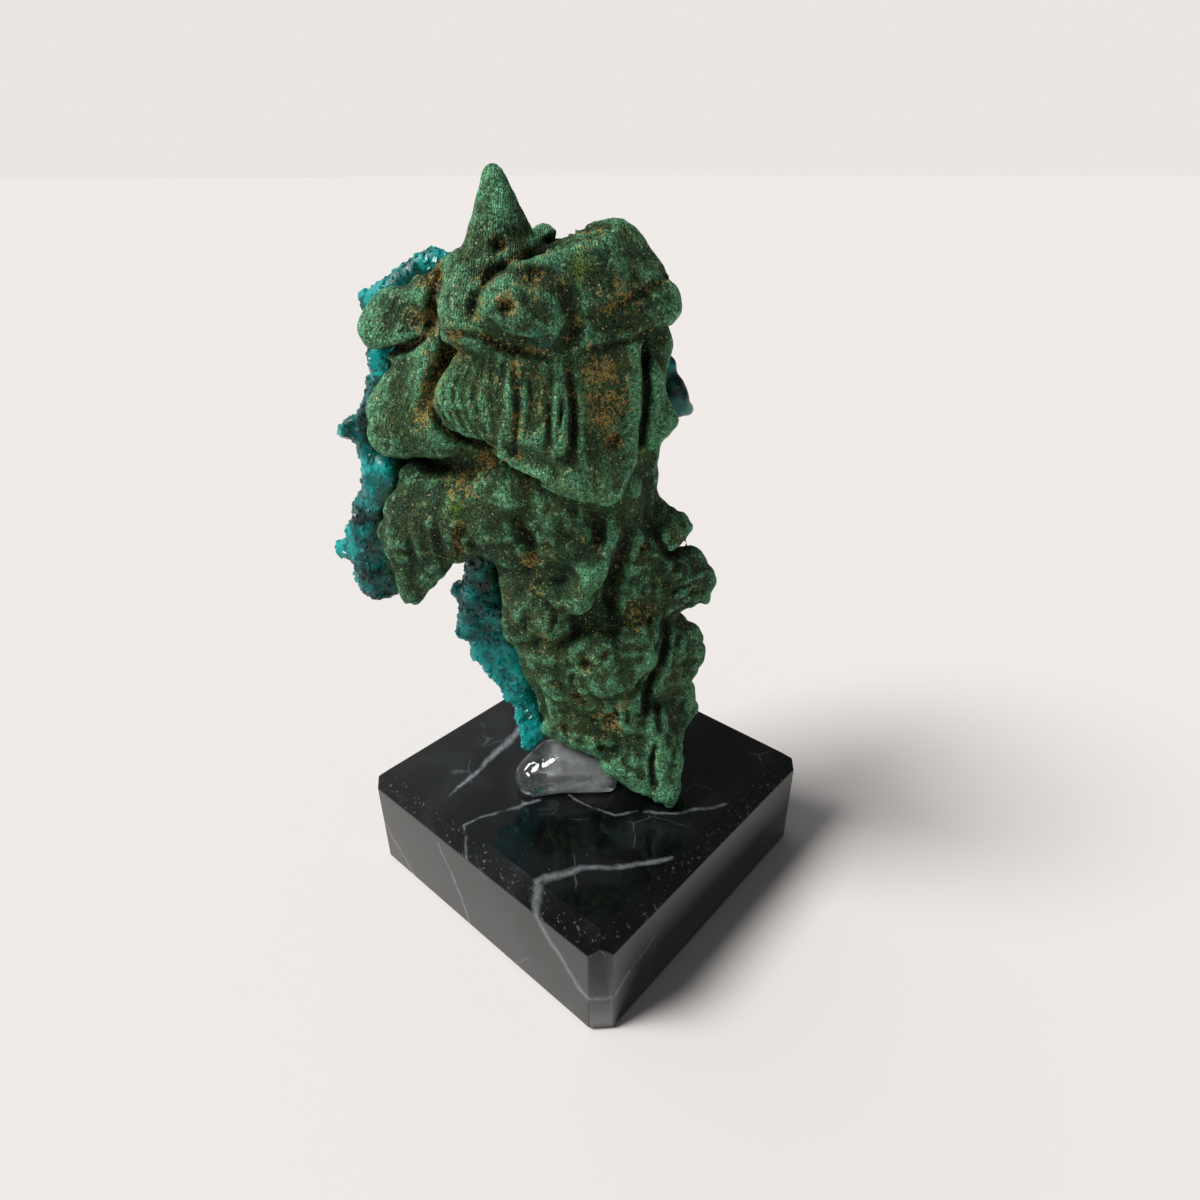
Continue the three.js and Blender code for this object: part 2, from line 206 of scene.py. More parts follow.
def smooth_line(marks, step=0.7):
    """A smooth line through marks (x, z), as rows about a step apart."""
    marks = np.array(marks, dtype=float)
    knots = np.vstack([2 * marks[0] - marks[1], marks, 2 * marks[-1] - marks[-2]])
    rows = []
    for a, b, c, d in zip(knots[:-3], knots[1:-2], knots[2:-1], knots[3:]):
        count = int(np.ceil(np.linalg.norm(c - b) / step))
        for t in np.arange(count) / count:
            bend = 2 * a - 5 * b + 4 * c - d + t * (3 * (b - c) + d - a)
            rows.append(b + 0.5 * t * (c - a + t * bend))
    rows.append(marks[-1])
    return np.array(rows)


def lumpy(shape, cells, seed):
    """Smooth random lumps, one to every so many cells of a grid, mostly between -1 and 1."""
    lattice = np.random.default_rng(seed).uniform(-1, 1, [int(n // cells) + 3 for n in shape])
    for axis, n in enumerate(shape):
        place = np.arange(n) / cells
        low = place.astype(int)
        part = place - low
        part = part * part * (3 - 2 * part)
        part = part.reshape([-1 if i == axis else 1 for i in range(3)])
        lattice = (1 - part) * np.take(lattice, low, axis) + part * np.take(lattice, low + 1, axis)
    return lattice.astype(np.float32)


body = Block(BODY_LOW, BODY_HIGH, BODY_STEP)
body.take_body(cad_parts["malachite_body"])
# The rough body is rounded, swelled a little to make up for that, and made uneven.
body.soften(7)
body.d -= 0.25
body.d += 0.35 * lumpy(body.d.shape, 15, 1) + 0.15 * lumpy(body.d.shape, 7, 2)

# Folds too fine for the rough body: the leaf's rim, the knob behind the horn, and the webs that join the
# nose to the horn's root and to the arm, and the bulge to the long fold left of it.
body.add([(-6.5, -9, 92.2, 0.9), (-3, -9.3, 93.3, 1), (0, -9, 94.4, 1), (2.6, -8.2, 95, 1)], 0.9)
body.add([(-4.2, 1, 94.5, 1.6), (-2.8, 1, 93.5, 1.6)], 1)
body.add([(-13, -8.6, 88, 1.5), (-11.4, -9.2, 86, 1.7), (-8.5, -9.6, 85.2, 1.7)], 1.6)
body.add([(-2, -8.6, 91, 1.8), (-0.8, -8.6, 88.4, 2.2), (-0.6, -8.8, 85.6, 2.2)], 1.6)
body.add([(-12.5, -6, 92, 2.2), (-12, -8.8, 89.4, 2.3), (-10.9, -10, 87.4, 2.1)], 2)
body.add([(-17, -5.6, 83.5, 1.7), (-17.8, -5.8, 79, 1.9), (-16.4, -6.2, 75.4, 1.9)], 1.6)

# The relief is a sheet over the face, in millimetres: more than zero is cut in, less stands out.
# Ochre earth has settled in some of the cuts.
across, up = np.meshgrid(body.axes[0], body.axes[2], indexing="ij")
relief = np.zeros(across.shape)
ochre = np.zeros(across.shape)


def beside(line):
    """How far each place on the sheet lies from a line, and how far along the line that is."""
    rows = smooth_line(line)
    nearest = np.full(across.shape, 99.0)
    along = np.zeros(across.shape)
    for i, (a, b) in enumerate(zip(rows[:-1], rows[1:])):
        ab = b - a
        t = ((across - a[0]) * ab[0] + (up - a[1]) * ab[1]) / (ab @ ab)
        t = np.clip(t, 0, 1)
        gap = np.hypot(across - a[0] - t * ab[0], up - a[1] - t * ab[1])
        along = np.where(gap < nearest, (i + t) / (len(rows) - 1), along)
        nearest = np.minimum(nearest, gap)
    return nearest, along


def cut(line, half_width, depth, earth=0.0):
    """A V-shaped crease that dies out at both ends."""
    global relief, ochre
    gap, along = beside(line)
    strength = np.sqrt(np.clip(4 * along * (1 - along), 0.1, 1))
    relief = np.maximum(relief, depth * strength * np.clip(1 - gap / half_width, 0, 1))
    ochre = np.maximum(ochre, earth * np.exp(-((gap / (half_width + 0.4)) ** 2)))


def fold(line, half_width, rise):
    """A rounded fold that stands out."""
    global relief
    gap, _ = beside(line)
    relief = relief - rise * np.clip(1 - (gap / half_width) ** 2, 0, 1) ** 2


def pit(x, z, radius, depth, earth=0.0):
    """A round hollow."""
    global relief, ochre
    gap = np.hypot(across - x, up - z)
    relief = relief + depth * np.exp(-((gap / radius) ** 2))
    ochre = np.maximum(ochre, earth * np.exp(-((gap / (radius + 0.5)) ** 2)))


# The folds of the head, laid on first.
fold([(-7, 92.3), (-3, 93.7), (3, 94.6)], 1.1, 1.5)
fold([(-5, 95), (-8, 93), (-12, 90), (-15, 86)], 1.6, 1.3)
cut([(-15.5, 92), (-16.5, 89), (-17, 85.5)], 0.9, 1.3, 0.4)
cut([(-7.5, 93), (-10, 91), (-11.5, 88)], 1.1, 0.8, 0.5)
fold([(-23, 90), (-19, 90), (-15, 89)], 1.3, 0.6)
fold([(1, 90), (5, 91), (10, 91)], 1.6, 0.5)
fold([(1, 86), (5, 87), (10, 88)], 1.8, 0.5)
fold([(-10, 91), (-6, 91), (-3, 90)], 1.8, 0.5)
fold([(6, 83), (6.5, 78), (6, 71)], 1.5, 0.6)
fold([(-9, 71), (-3, 69), (3, 67)], 1.5, 0.5)
# The folds of the wing and of the body below.
fold([(-21, 67), (-24, 63), (-24, 58)], 1.8, 0.5)
fold([(-17, 64), (-14, 66), (-12, 63)], 1.3, 0.6)
fold([(3, 58), (1, 54), (-1, 49)], 1.5, 0.8)
fold([(10, 46), (9, 42), (6, 38)], 1.4, 0.7)
fold([(-4, 25), (0, 26), (4, 24), (9, 20)], 1.4, 0.4)

# The hollows: dished places with earth in them.
pit(-17.5, 87, 1.8, 0.9, 0.9)
pit(-17, 91, 1.4, 0.7, 0.9)
pit(-7.4, 89.8, 0.9, 1.0, 0.9)
pit(-8.5, 94.6, 0.7, 0.9, 0.6)
pit(2.5, 79, 2.6, 0.6, 0.8)
pit(3.5, 74.5, 0.9, 0.8, 0.9)
pit(-5, 92, 1.4, 0.7, 0.8)
pit(-6, 46, 1.3, 0.5, 0.8)
pit(0, 43, 0.9, 0.8, 0.6)
pit(-1.5, 37, 0.8, 0.7, 0.8)

# The creases between the folds of the head.
cut([(-15, 86), (-11, 86.5), (-8, 85), (-3, 84)], 0.8, 0.6, 0.45)
cut([(-24, 83), (-20, 84), (-16, 86)], 0.8, 1.2, 0.3)
cut([(-14.5, 84), (-16.5, 81.5), (-17.5, 79), (-18.5, 76.5)], 1.2, 0.8, 0.9)
cut([(-18, 79), (-16, 75), (-13, 73), (-9, 72)], 0.8, 1.1, 0.2)
cut([(-3, 92), (-1.2, 90), (-0.6, 87), (-2, 85)], 1.4, 0.8, 0.3)
cut([(1, 88), (5, 89.5), (10, 91)], 0.9, 0.5, 0.5)
cut([(-1, 84.5), (4, 85), (9, 86)], 0.6, 0.4)
cut([(-6, 93.5), (-2, 95), (3, 95.8)], 0.7, 0.6, 0.5)
cut([(7, 84), (7.5, 79), (7, 72)], 0.7, 1.4)
cut([(-11, 71.5), (-8, 71), (-4, 70)], 0.7, 0.9, 0.3)

# The curtain hangs in fine uneven ribs, with a wide dark gap at its right.
chance = np.random.default_rng(41)
for i in range(10):
    x = -9.8 + 0.85 * i + chance.uniform(-0.2, 0.2)
    top = chance.uniform(81.5, 84)
    bottom = chance.uniform(72.5, 78)
    bend = x - 0.2 + chance.uniform(-0.4, 0.4)
    cut([(x, top), (bend, (top + bottom) / 2), (x - 0.5, bottom)],
        chance.uniform(0.35, 0.6), chance.uniform(0.2, 0.6), chance.uniform(0, 0.5))
cut([(-1.5, 83.5), (-1, 79), (-1, 76), (-1.4, 73)], 0.9, 1.2, 0.3)

# Fainter stripes run down the bulge and the wing, and across the right-hand lobe.
for i in range(5):
    x = -16 + 1.15 * i + chance.uniform(-0.2, 0.2)
    cut([(x + 0.8, 83), (x - 0.3, 80), (x + 0.2, 77), (x + 1, 75)], 0.45, chance.uniform(0.15, 0.4))
for x in (-22.5, -20.5, -18.5):
    cut([(x + 1, 66), (x, 62), (x + 0.3, 57)], 0.9, 0.25)
for z in (48.5, 50.4, 52.3):
    cut([(11, z - 1), (14, z + 0.3), (17, z)], 0.5, 0.3)

# The creases of the neck, the body and the foot.
cut([(-8.5, 65), (-7.5, 62), (-6, 59)], 1.5, 1.1, 0.3)
cut([(1, 65), (2, 62), (2, 60)], 1.4, 1.1, 0.3)
cut([(-15, 63), (-16, 61), (-16, 58)], 1.0, 0.9, 0.7)
cut([(5.5, 61), (4.5, 57), (3.5, 52), (3.5, 47)], 1.6, 1.9, 0.2)
cut([(9, 61), (11, 57), (14, 57)], 0.8, 1.0)
cut([(11, 47), (11, 42), (9, 37), (8.5, 34)], 1.0, 1.5)
cut([(10, 30), (9.5, 26), (10, 22)], 0.7, 0.9)
cut([(-7, 54), (-4, 51), (-5, 48)], 0.7, 0.7, 0.3)
# Pits and short cracks are strewn over the crumbly part below the head.
for _ in range(36):
    x, z = chance.uniform(-23, 16), chance.uniform(24, 66)
    size = chance.uniform(0.35, 0.9)
    lean = chance.uniform(-1.5, 1.5)
    if chance.random() < 0.5:
        pit(x, z, size, 0.6 * size, chance.uniform(0, 0.6))
    else:
        cut([(x, z), (x + lean, z - 1.5), (x + lean / 2, z - 3)], size, 0.7 * size, 0.2)

# The relief dies out about 5 mm behind the front of the stone. Then every fold and crease is sharpened.
depth_behind = np.abs(body.axes[1][None, :, None] - body.front()[:, None, :])
body.d += relief[:, None, :] * np.clip(1.6 - depth_behind / 3, 0, 1)
body.d += 0.4 * (body.d - softened(body.d, 10))
# The head is smooth and silky, the body below it crumbly.
crumbly = np.clip((76 - body.axes[2]) / 14, 0.15, 1)
for cells, seed, height in ((12, 3, 0.5), (5.5, 4, 0.42)):
    body.d += crumbly * height * (0.35 - np.abs(lumpy(body.d.shape, cells, seed)))
body.d += (0.07 + 0.07 * crumbly) * lumpy(body.d.shape, 3.2, 6)


def thinned(points, faces, share):
    """The same surface with fewer faces, kept where it bends most."""
    mesh = bpy.data.meshes.new("full")
    mesh.from_pydata(points.tolist(), [], faces.tolist())
    full = placed(mesh, "full")
    full.modifiers.new("fewer", "DECIMATE").ratio = share
    made = full.evaluated_get(bpy.context.evaluated_depsgraph_get()).to_mesh()
    kept = surface_of(made)
    bpy.data.objects.remove(full)
    return kept


def mesh_object(name, points, faces):
    """A smooth piece from points in the stone's frame."""
    mesh = bpy.data.meshes.new(name)
    mesh.from_pydata(to_shared(points).tolist(), [], faces.tolist())
    mesh.shade_smooth()
    return placed(mesh, name)


points, faces = thinned(*body.to_mesh(), BODY_SHARE)
# The mineral's threads run down the face and out along the arm, in low waves that wander a little.
strand = THREAD_REACH * np.arctan2(points[:, 0] - THREAD_ROOT[0], THREAD_ROOT[1] - points[:, 2])
slope = np.stack([body.sample(part, points) for part in np.gradient(body.d)], axis=1)
slope /= np.linalg.norm(slope, axis=1, keepdims=True)
wander = body.sample(lumpy(body.d.shape, 12, 5), points)
waves = 0.04 * np.sin(2 * math.pi * (strand + 1.4 * wander) / BROAD_THREAD)
points = points + slope * waves[:, None]
malachite = mesh_object("malachite", points, faces)


def paint(piece, name, values):
    """Keeps one value for each of a piece's points, under a name that its material reads."""
    layer = piece.data.attributes.new(name, "FLOAT", "POINT")
    layer.data.foreach_set("value", np.asarray(values, dtype=np.float32))


# How hollow the skin is: more than zero in creases, less on ridges. The material darkens the hollows with
# it as painted shade.
fine_hollow = -body.sample(softened(body.d, 6), points) / 0.25
broad_hollow = -body.sample(softened(body.d, 40), points)
paint(malachite, "hollow", np.clip(fine_hollow, -1, 1))
paint(malachite, "valley", np.clip(broad_hollow, -1, 1))


def patches_on(sheet_patches):
    """A sheet with soft round patches (x, z, radius)."""
    sheet = np.zeros(across.shape)
    for x, z, radius in sheet_patches:
        gap = np.hypot(across - x, up - z) / radius
        sheet = np.maximum(sheet, np.exp(-gap * gap))
    return sheet


# Beyond the hollows, ochre earth lies in a few broad patches, and copper has left lime and teal.
EARTH = [(1.5, 82, 2.5), (2, 77, 2.2), (-14, 86, 1.6), (-12, 71, 1.5), (-15, 68, 2), (7, 49, 2.2),
         (-7, 58, 1.6), (3, 32, 2.5), (5, 36, 1.2), (4, 90, 1.8)]
LIME = [(-0.5, 92.8, 1.3), (-2, 69, 1.2), (-16, 65, 1.3), (6.5, 71, 0.9), (4, 86.5, 0.9)]
TEAL = [(-4, 86, 1.2), (-1.8, 69, 0.7), (-2, 92.5, 0.8)]
# The earth is thinner below the head.
ochre = np.maximum(ochre, patches_on(EARTH)) * np.where(up < 66, 0.8, 1.0)
for name, sheet in (("rust", ochre), ("lime", patches_on(LIME)), ("teal", patches_on(TEAL))):
    paint(malachite, name, body.on_front(sheet, points))

# A painted highlight of lighter mint green lies on whatever stands proud, and more of it below about 34
# mm.
proud_highlight = 1.4 * body.sample(softened(body.d, 24), points) + 0.5 * np.clip((34 - points[:, 2]) / 10, 0, 1)
# The highlight is thinner on the silky nose and the left-hand lobe, and on the neck, wing, leaf and arm,
# where painted shade darkens the green instead.
out_of_head_shadow = np.clip(np.abs(points[:, 2] - 54) / 18, 0.3, 1)
SILKY_AND_SHADED = [(-6, 88.5, 5), (1.5, 92, 4), (6, 88, 4.5), (-22, 64, 6), (-21.5, 88, 3)]
silk_and_shade = body.on_front(patches_on(SILKY_AND_SHADED), points)
paint(malachite, "mint", np.clip(proud_highlight, 0, 1.4) * out_of_head_shadow * (1 - 0.75 * np.clip(silk_and_shade, 0, 1)))
paint(malachite, "silk_and_shade", np.clip(np.maximum(silk_and_shade, 0.9 * (1 - out_of_head_shadow)), 0, 1))
paint(malachite, "strand", strand)


def wire(tree, kind, feeds=None, **settings):
    """Adds a shader node, with its settings and with each named input fed by a value or a socket."""
    made = tree.nodes.new(kind)
    for name, value in settings.items():
        setattr(made, name, value)
    for name, source in (feeds or {}).items():
        if isinstance(source, bpy.types.NodeSocket):
            tree.links.new(source, made.inputs[name])
        else:
            made.inputs[name].default_value = source
    return made


def sums(tree, operation, a, b=0.0):
    """One step of arithmetic on values or sockets."""
    return wire(tree, "ShaderNodeMath", {0: a, 1: b}, operation=operation).outputs[0]


def times(tree, a, b):
    """The product of two values or sockets."""
    return sums(tree, "MULTIPLY", a, b)


def weighed(tree, *parts):
    """The sum of some values, each times its weight."""
    total = times(tree, *parts[0])
    for part in parts[1:]:
        total = sums(tree, "ADD", total, times(tree, *part))
    return total


def swing(tree, noise, strength):
    """Noise made to swing about zero."""
    return times(tree, sums(tree, "SUBTRACT", noise, 0.5), strength)


def mingle(tree, share, a, b):
    """One colour over another."""
    return wire(tree, "ShaderNodeMix", {0: share, 6: a, 7: b}, data_type="RGBA").outputs[2]


def between(tree, value, low, high, to_low=0.0, to_high=1.0):
    """A value spread smoothly from one range over another."""
    feeds = {"Value": value, "From Min": low, "From Max": high, "To Min": to_low, "To Max": to_high}
    return wire(tree, "ShaderNodeMapRange", feeds, interpolation_type="SMOOTHSTEP").outputs[0]


def speckle(tree, place, size, detail=2.0, coarse=0.5):
    """Cloudy noise whose lumps are about so many millimetres across."""
    feeds = {"Vector": place, "Scale": 1 / (size * MM), "Detail": detail, "Roughness": coarse}
    return wire(tree, "ShaderNodeTexNoise", feeds).outputs["Fac"]


def crumbs(tree, place, size):
    """A chance number for each of many small crumbs."""
    cells = wire(tree, "ShaderNodeTexVoronoi", {"Vector": place, "Scale": 1 / (size * MM)})
    return wire(tree, "ShaderNodeSeparateColor", {0: cells.outputs["Color"]}).outputs[0]


def read(tree, name):
    """The values that were painted on a piece under a name."""
    return wire(tree, "ShaderNodeAttribute", attribute_name=name).outputs["Fac"]


def new_material(name):
    """A material with its node tree and its main shader."""
    material = bpy.data.materials.new(name)
    material.use_nodes = True
    tree = material.node_tree
    return material, tree, tree.nodes["Principled BSDF"]


def dress_malachite():
    """Velvety green with earth and stains in its hollows, painted shade deep in them, and a painted mint
    highlight where it stands proud.
    """
    material, tree, skin = new_material("velvet malachite")
    place = wire(tree, "ShaderNodeTexCoord").outputs["Object"]
    patches = speckle(tree, place, 7, 3)
    clumps = speckle(tree, place, 1.6, 4, 0.6)
    grains = speckle(tree, place, 0.45, 3, 0.7)
    dust = speckle(tree, place, 0.17, 2, 0.6)
    spark = crumbs(tree, place, 0.16)
    flakes = crumbs(tree, place, 0.34)
    depth = weighed(tree, (read(tree, "hollow"), 1.0), (read(tree, "valley"), 0.7))

    # Fine threads that fan out with the strands.
    wander = speckle(tree, place, 3.0, 4)
    strand = weighed(tree, (read(tree, "strand"), 1.0), (wander, 3.0))
    fine_thread = sums(tree, "SINE", times(tree, strand, 2 * math.pi / FINE_THREAD))
    broad_thread = sums(tree, "SINE", times(tree, strand, 2 * math.pi / BROAD_THREAD))
    thread = weighed(tree, (fine_thread, 0.5), (broad_thread, 0.5))
    thread = times(tree, thread, between(tree, clumps, 0.3, 0.55))

    # The greens, from painted shade deep in the hollows up to the painted mint highlight and its painted
    # glints.
    tone = weighed(tree, (patches, 0.5), (clumps, 0.5), (depth, -0.12))
    tone = between(tree, tone, 0.36, 0.64)
    green = mingle(tree, tone, (0.011, 0.032, 0.010, 1), (0.037, 0.084, 0.030, 1))
    # Darker green on the silky nose and left-hand lobe, and painted shade on the neck, wing, leaf and
    # arm.
    silk_and_shade = times(tree, read(tree, "silk_and_shade"), 0.78)
    green = mingle(tree, silk_and_shade, green, (0.011, 0.027, 0.01, 1))
    olive = between(tree, speckle(tree, place, 4.5, 4, 0.6), 0.5, 0.7, 0, 0.55)
    green = mingle(tree, olive, green, (0.062, 0.075, 0.02, 1))
    mint = weighed(tree, (read(tree, "mint"), 1.0), (depth, -0.6), (swing(tree, clumps, 2.5), 1.0))
    green = mingle(tree, between(tree, mint, 0.1, 1.3, 0, 0.7), green, (0.085, 0.29, 0.15, 1))
    glint = times(tree, between(tree, flakes, 0.8, 0.95), between(tree, mint, -0.1, 1.0, 0.03, 0.7))
    green = mingle(tree, glint, green, (0.17, 0.42, 0.25, 1))
    # Painted shade darkens the deepest hollows.
    green = mingle(tree, between(tree, depth, 0.3, 1.3, 0, 0.8), green, (0.005, 0.013, 0.006, 1))

    # Ragged earth, then the lime and teal stains.
    ragged = weighed(tree, (swing(tree, clumps, 2.5), 1.0), (swing(tree, flakes, 1.0), 1.0))
    rust = sums(tree, "ADD", read(tree, "rust"), ragged)
    ochre = mingle(tree, between(tree, rust, 0.5, 1.0, 0, 0.75), green, (0.24, 0.16, 0.038, 1))
    uneven = between(tree, clumps, 0.4, 0.6)
    lime = times(tree, times(tree, read(tree, "lime"), uneven), 0.7)
    colour = mingle(tree, lime, ochre, (0.11, 0.2, 0.02, 1))
    teal = times(tree, times(tree, read(tree, "teal"), uneven), 0.8)
    colour = mingle(tree, teal, colour, (0.008, 0.09, 0.08, 1))

    # The nap: every grain is lighter or darker than the next, and a few catch the light.
    nap = weighed(tree, (dust, 0.6), (grains, 0.4), (thread, 0.02))
    nap = between(tree, nap, 0.37, 0.64, 0.16, 2.3)
    nap = sums(tree, "ADD", nap, between(tree, spark, 0.88, 0.98, 0, 1.3))
    nap = wire(tree, "ShaderNodeCombineColor", {0: nap, 1: nap, 2: nap}).outputs[0]
    feeds = {0: 1.0, 6: colour, 7: nap}
    colour = wire(tree, "ShaderNodeMix", feeds, data_type="RGBA", blend_type="MULTIPLY").outputs[2]
    colour = mingle(tree, between(tree, spark, 0.986, 0.99), colour, (0.42, 0.42, 0.2, 1))
    tree.links.new(colour, skin.inputs["Base Color"])
    tree.links.new(between(tree, spark, 0.93, 0.97, 0.8, 0.25), skin.inputs["Roughness"])

    height = weighed(tree, (grains, 0.7), (clumps, 1.3), (dust, 0.45), (thread, 0.2))
    bump = wire(tree, "ShaderNodeBump", {"Height": height, "Strength": 1.0, "Distance": 0.45 * MM})
    tree.links.new(bump.outputs["Normal"], skin.inputs["Normal"])
    skin.inputs["Specular IOR Level"].default_value = 0.3
    return material


malachite.data.materials.append(dress_malachite())
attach(malachite, "root")
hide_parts("malachite_body")

# ---------------------------------------------------------------------------------------------
# The dioptase: a crust of teal-green copper silicate over the back and round the left margin of
# the malachite. Its bed is massive and sugary; out of it grow short six-sided prisms, each closed
# by three rhomb faces: small ones close together, and larger, smoother ones further apart.
# ---------------------------------------------------------------------------------------------
CRUST_LOW, CRUST_HIGH, CRUST_STEP = (-36, -10, TOP - 0.5), (24, 20, 105), 0.4

crust = Block(CRUST_LOW, CRUST_HIGH, CRUST_STEP)
crust.take_body(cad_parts["malachite_body"])
stone = crust.d
crust.d = np.zeros_like(stone)
crust.take_body(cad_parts["dioptase_crust"])
crust.soften(2)
# The bed runs on under the edge of the malachite, so that no gap is left between them.
under_the_edge = np.maximum(stone + 1.6, crust.d - 2.2)
crust.d = np.minimum(crust.d - 0.1, under_the_edge)
# At the lower left the crust closes against the wing.
crust.add([(-26, 0, 59, 2.2), (-26, 0.5, 55, 2.8), (-27, 0, 51.5, 2.2)], 1.5)
# Its back is thickened where it would be thin enough to see through.
for x, z in ((-15, 65), (-6.5, 51.5), (-3, 27.5)):
    crust.add([(x - 0.6, 6, z - 1.8, 2.3), (x + 0.6, 6, z + 1.8, 2.3)], 1.5)
crust.soften(1)
crust.d += 0.3 * lumpy(crust.d.shape, 6, 11) + 0.22 * lumpy(crust.d.shape, 3.5, 12)
bed_points, bed_faces = crust.to_mesh()
bed = mesh_object("dioptase_bed", bed_points, bed_faces)

# How far the bed stands clear of the malachite: crystals grow only where it does.
clear = body.sample(body.d, bed_points)
paint(bed, "clear", clear)
# The wedge at the right of the head is a single smooth mass.
wedge = (bed_points[:, 0] > 8) & (bed_points[:, 2] > 70)
paint(bed, "bare", np.clip((clear + 0.2) / 0.6, 0, 1) * (bed_points[:, 2] > TOP + 0.6) * ~wedge)

# Along its thin outer edges it is painted bright cyan, as painted light shining through them, and it is
# bright cyan low down too. It is darker in some patches (x, z, radius): painted shade in its pockets and
# on the wedge right of the head, and darker crust down its left side.
edge = crust.sample(softened(crust.d, 24), bed_points)
SHADED_AND_DARK_PATCHES = [(-23, 67, 3), (-14, 56, 3.5), (-29, 51, 3), (-27, 75, 3), (-27, 60, 3), (12.5, 76, 5)]
low_down = np.clip((46 - bed_points[:, 2]) / 8, 0, 1)
paint(bed, "edge_light_and_low_cyan", np.clip((edge - 0.1) / 0.5, 0, 1) + low_down)
paint(bed, "pocket_shade_and_dark_crust", body.on_front(patches_on(SHADED_AND_DARK_PATCHES), bed_points, 12.0))


def crystal_form(radius, length, sunk):
    """A six-sided prism with a three-faced tip, standing up from a little below its bed."""
    form = bmesh.new()
    low, shoulder = [], []
    for corner in range(6):
        angle = corner * math.pi / 3
        x, y = radius * math.cos(angle), radius * math.sin(angle)
        drop = radius * (0.9 if corner % 2 else 0.5)
        low.append(form.verts.new((x, y, -sunk)))
        shoulder.append(form.verts.new((x, y, length - drop - sunk)))
    tip = form.verts.new((0, 0, length - sunk))
    for i in range(6):
        j = (i + 1) % 6
        form.faces.new((low[i], low[j], shoulder[j], shoulder[i]))
    for i in (0, 2, 4):
        form.faces.new((tip, shoulder[i - 1], shoulder[i], shoulder[(i + 1) % 6]))
    return finished(form, "crystal")


def finished(form, name):
    """A bmesh made into a mesh piece."""
    mesh = bpy.data.meshes.new(name)
    form.to_mesh(mesh)
    form.free()
    return placed(mesh, name)


def growth_tree(crystal, material):
    """Scatters crystals over a bed, each leaning from the bed's normal."""
    tree = bpy.data.node_groups.new("crystal growth", "GeometryNodeTree")
    face = tree.interface
    face.new_socket("Bed", in_out="INPUT", socket_type="NodeSocketGeometry")
    for name in ("Spacing", "Smallest", "Largest", "Lean"):
        face.new_socket(name, in_out="INPUT", socket_type="NodeSocketFloat")
    face.new_socket("Seed", in_out="INPUT", socket_type="NodeSocketInt")
    face.new_socket("Crystals", in_out="OUTPUT", socket_type="NodeSocketGeometry")
    given = tree.nodes.new("NodeGroupInput").outputs

    def chance(low, high, seed):
        feeds = {2: low, 3: high, "Seed": seed}
        return wire(tree, "FunctionNodeRandomValue", feeds, data_type="FLOAT").outputs[1]

    bare = wire(tree, "GeometryNodeInputNamedAttribute", {"Name": "bare"}, data_type="FLOAT")
    feeds = {
        "Mesh": given["Bed"],
        "Distance Min": given["Spacing"],
        "Density Max": 4e6,
        "Density Factor": bare.outputs["Attribute"],
        "Seed": given["Seed"],
    }
    spots = wire(tree, "GeometryNodeDistributePointsOnFaces", feeds, distribute_method="POISSON")
    back = times(tree, given["Lean"], -1.0)
    turns = {
        0: chance(back, given["Lean"], 1),
        1: chance(back, given["Lean"], 2),
        2: chance(0.0, 2 * math.pi, 3),
    }
    tilt = wire(tree, "ShaderNodeCombineXYZ", turns).outputs[0]
    tilt = wire(tree, "FunctionNodeEulerToRotation", {0: tilt}).outputs[0]
    feeds = {0: spots.outputs["Rotation"], 1: tilt}
    turned = wire(tree, "FunctionNodeRotateRotation", feeds, rotation_space="LOCAL").outputs[0]
    shape = wire(tree, "GeometryNodeObjectInfo", {"Object": crystal}).outputs["Geometry"]
    feeds = {
        "Points": spots.outputs["Points"],
        "Instance": shape,
        "Rotation": turned,
        "Scale": chance(given["Smallest"], given["Largest"], 4),
    }
    grown = wire(tree, "GeometryNodeInstanceOnPoints", feeds).outputs[0]
    feeds = {"Geometry": grown, "Name": "tint", "Value": chance(0.0, 1.0, 5)}
    grown = wire(
        tree, "GeometryNodeStoreNamedAttribute", feeds, data_type="FLOAT", domain="INSTANCE"
    ).outputs[0]
    grown = wire(tree, "GeometryNodeRealizeInstances", {"Geometry": grown}).outputs[0]
    feeds = {"Geometry": grown, "Material": material}
    grown = wire(tree, "GeometryNodeSetMaterial", feeds).outputs[0]
    out = tree.nodes.new("NodeGroupOutput")
    tree.links.new(grown, out.inputs["Crystals"])
    return tree


def grow(bed, name, crystal, material, **sizes):
    """The crystals on a bed as one plain mesh piece."""
    tree = growth_tree(crystal, material)
    growth = bed.modifiers.new("growth", "NODES")
    growth.node_group = tree
    for item in tree.interface.items_tree:
        if item.in_out == "INPUT" and item.name in sizes:
            growth[item.identifier] = sizes[item.name]
    made = bed.evaluated_get(bpy.context.evaluated_depsgraph_get())
    mesh = bpy.data.meshes.new_from_object(made)
    bed.modifiers.remove(growth)
    bpy.data.objects.remove(crystal)
    return placed(mesh, name)


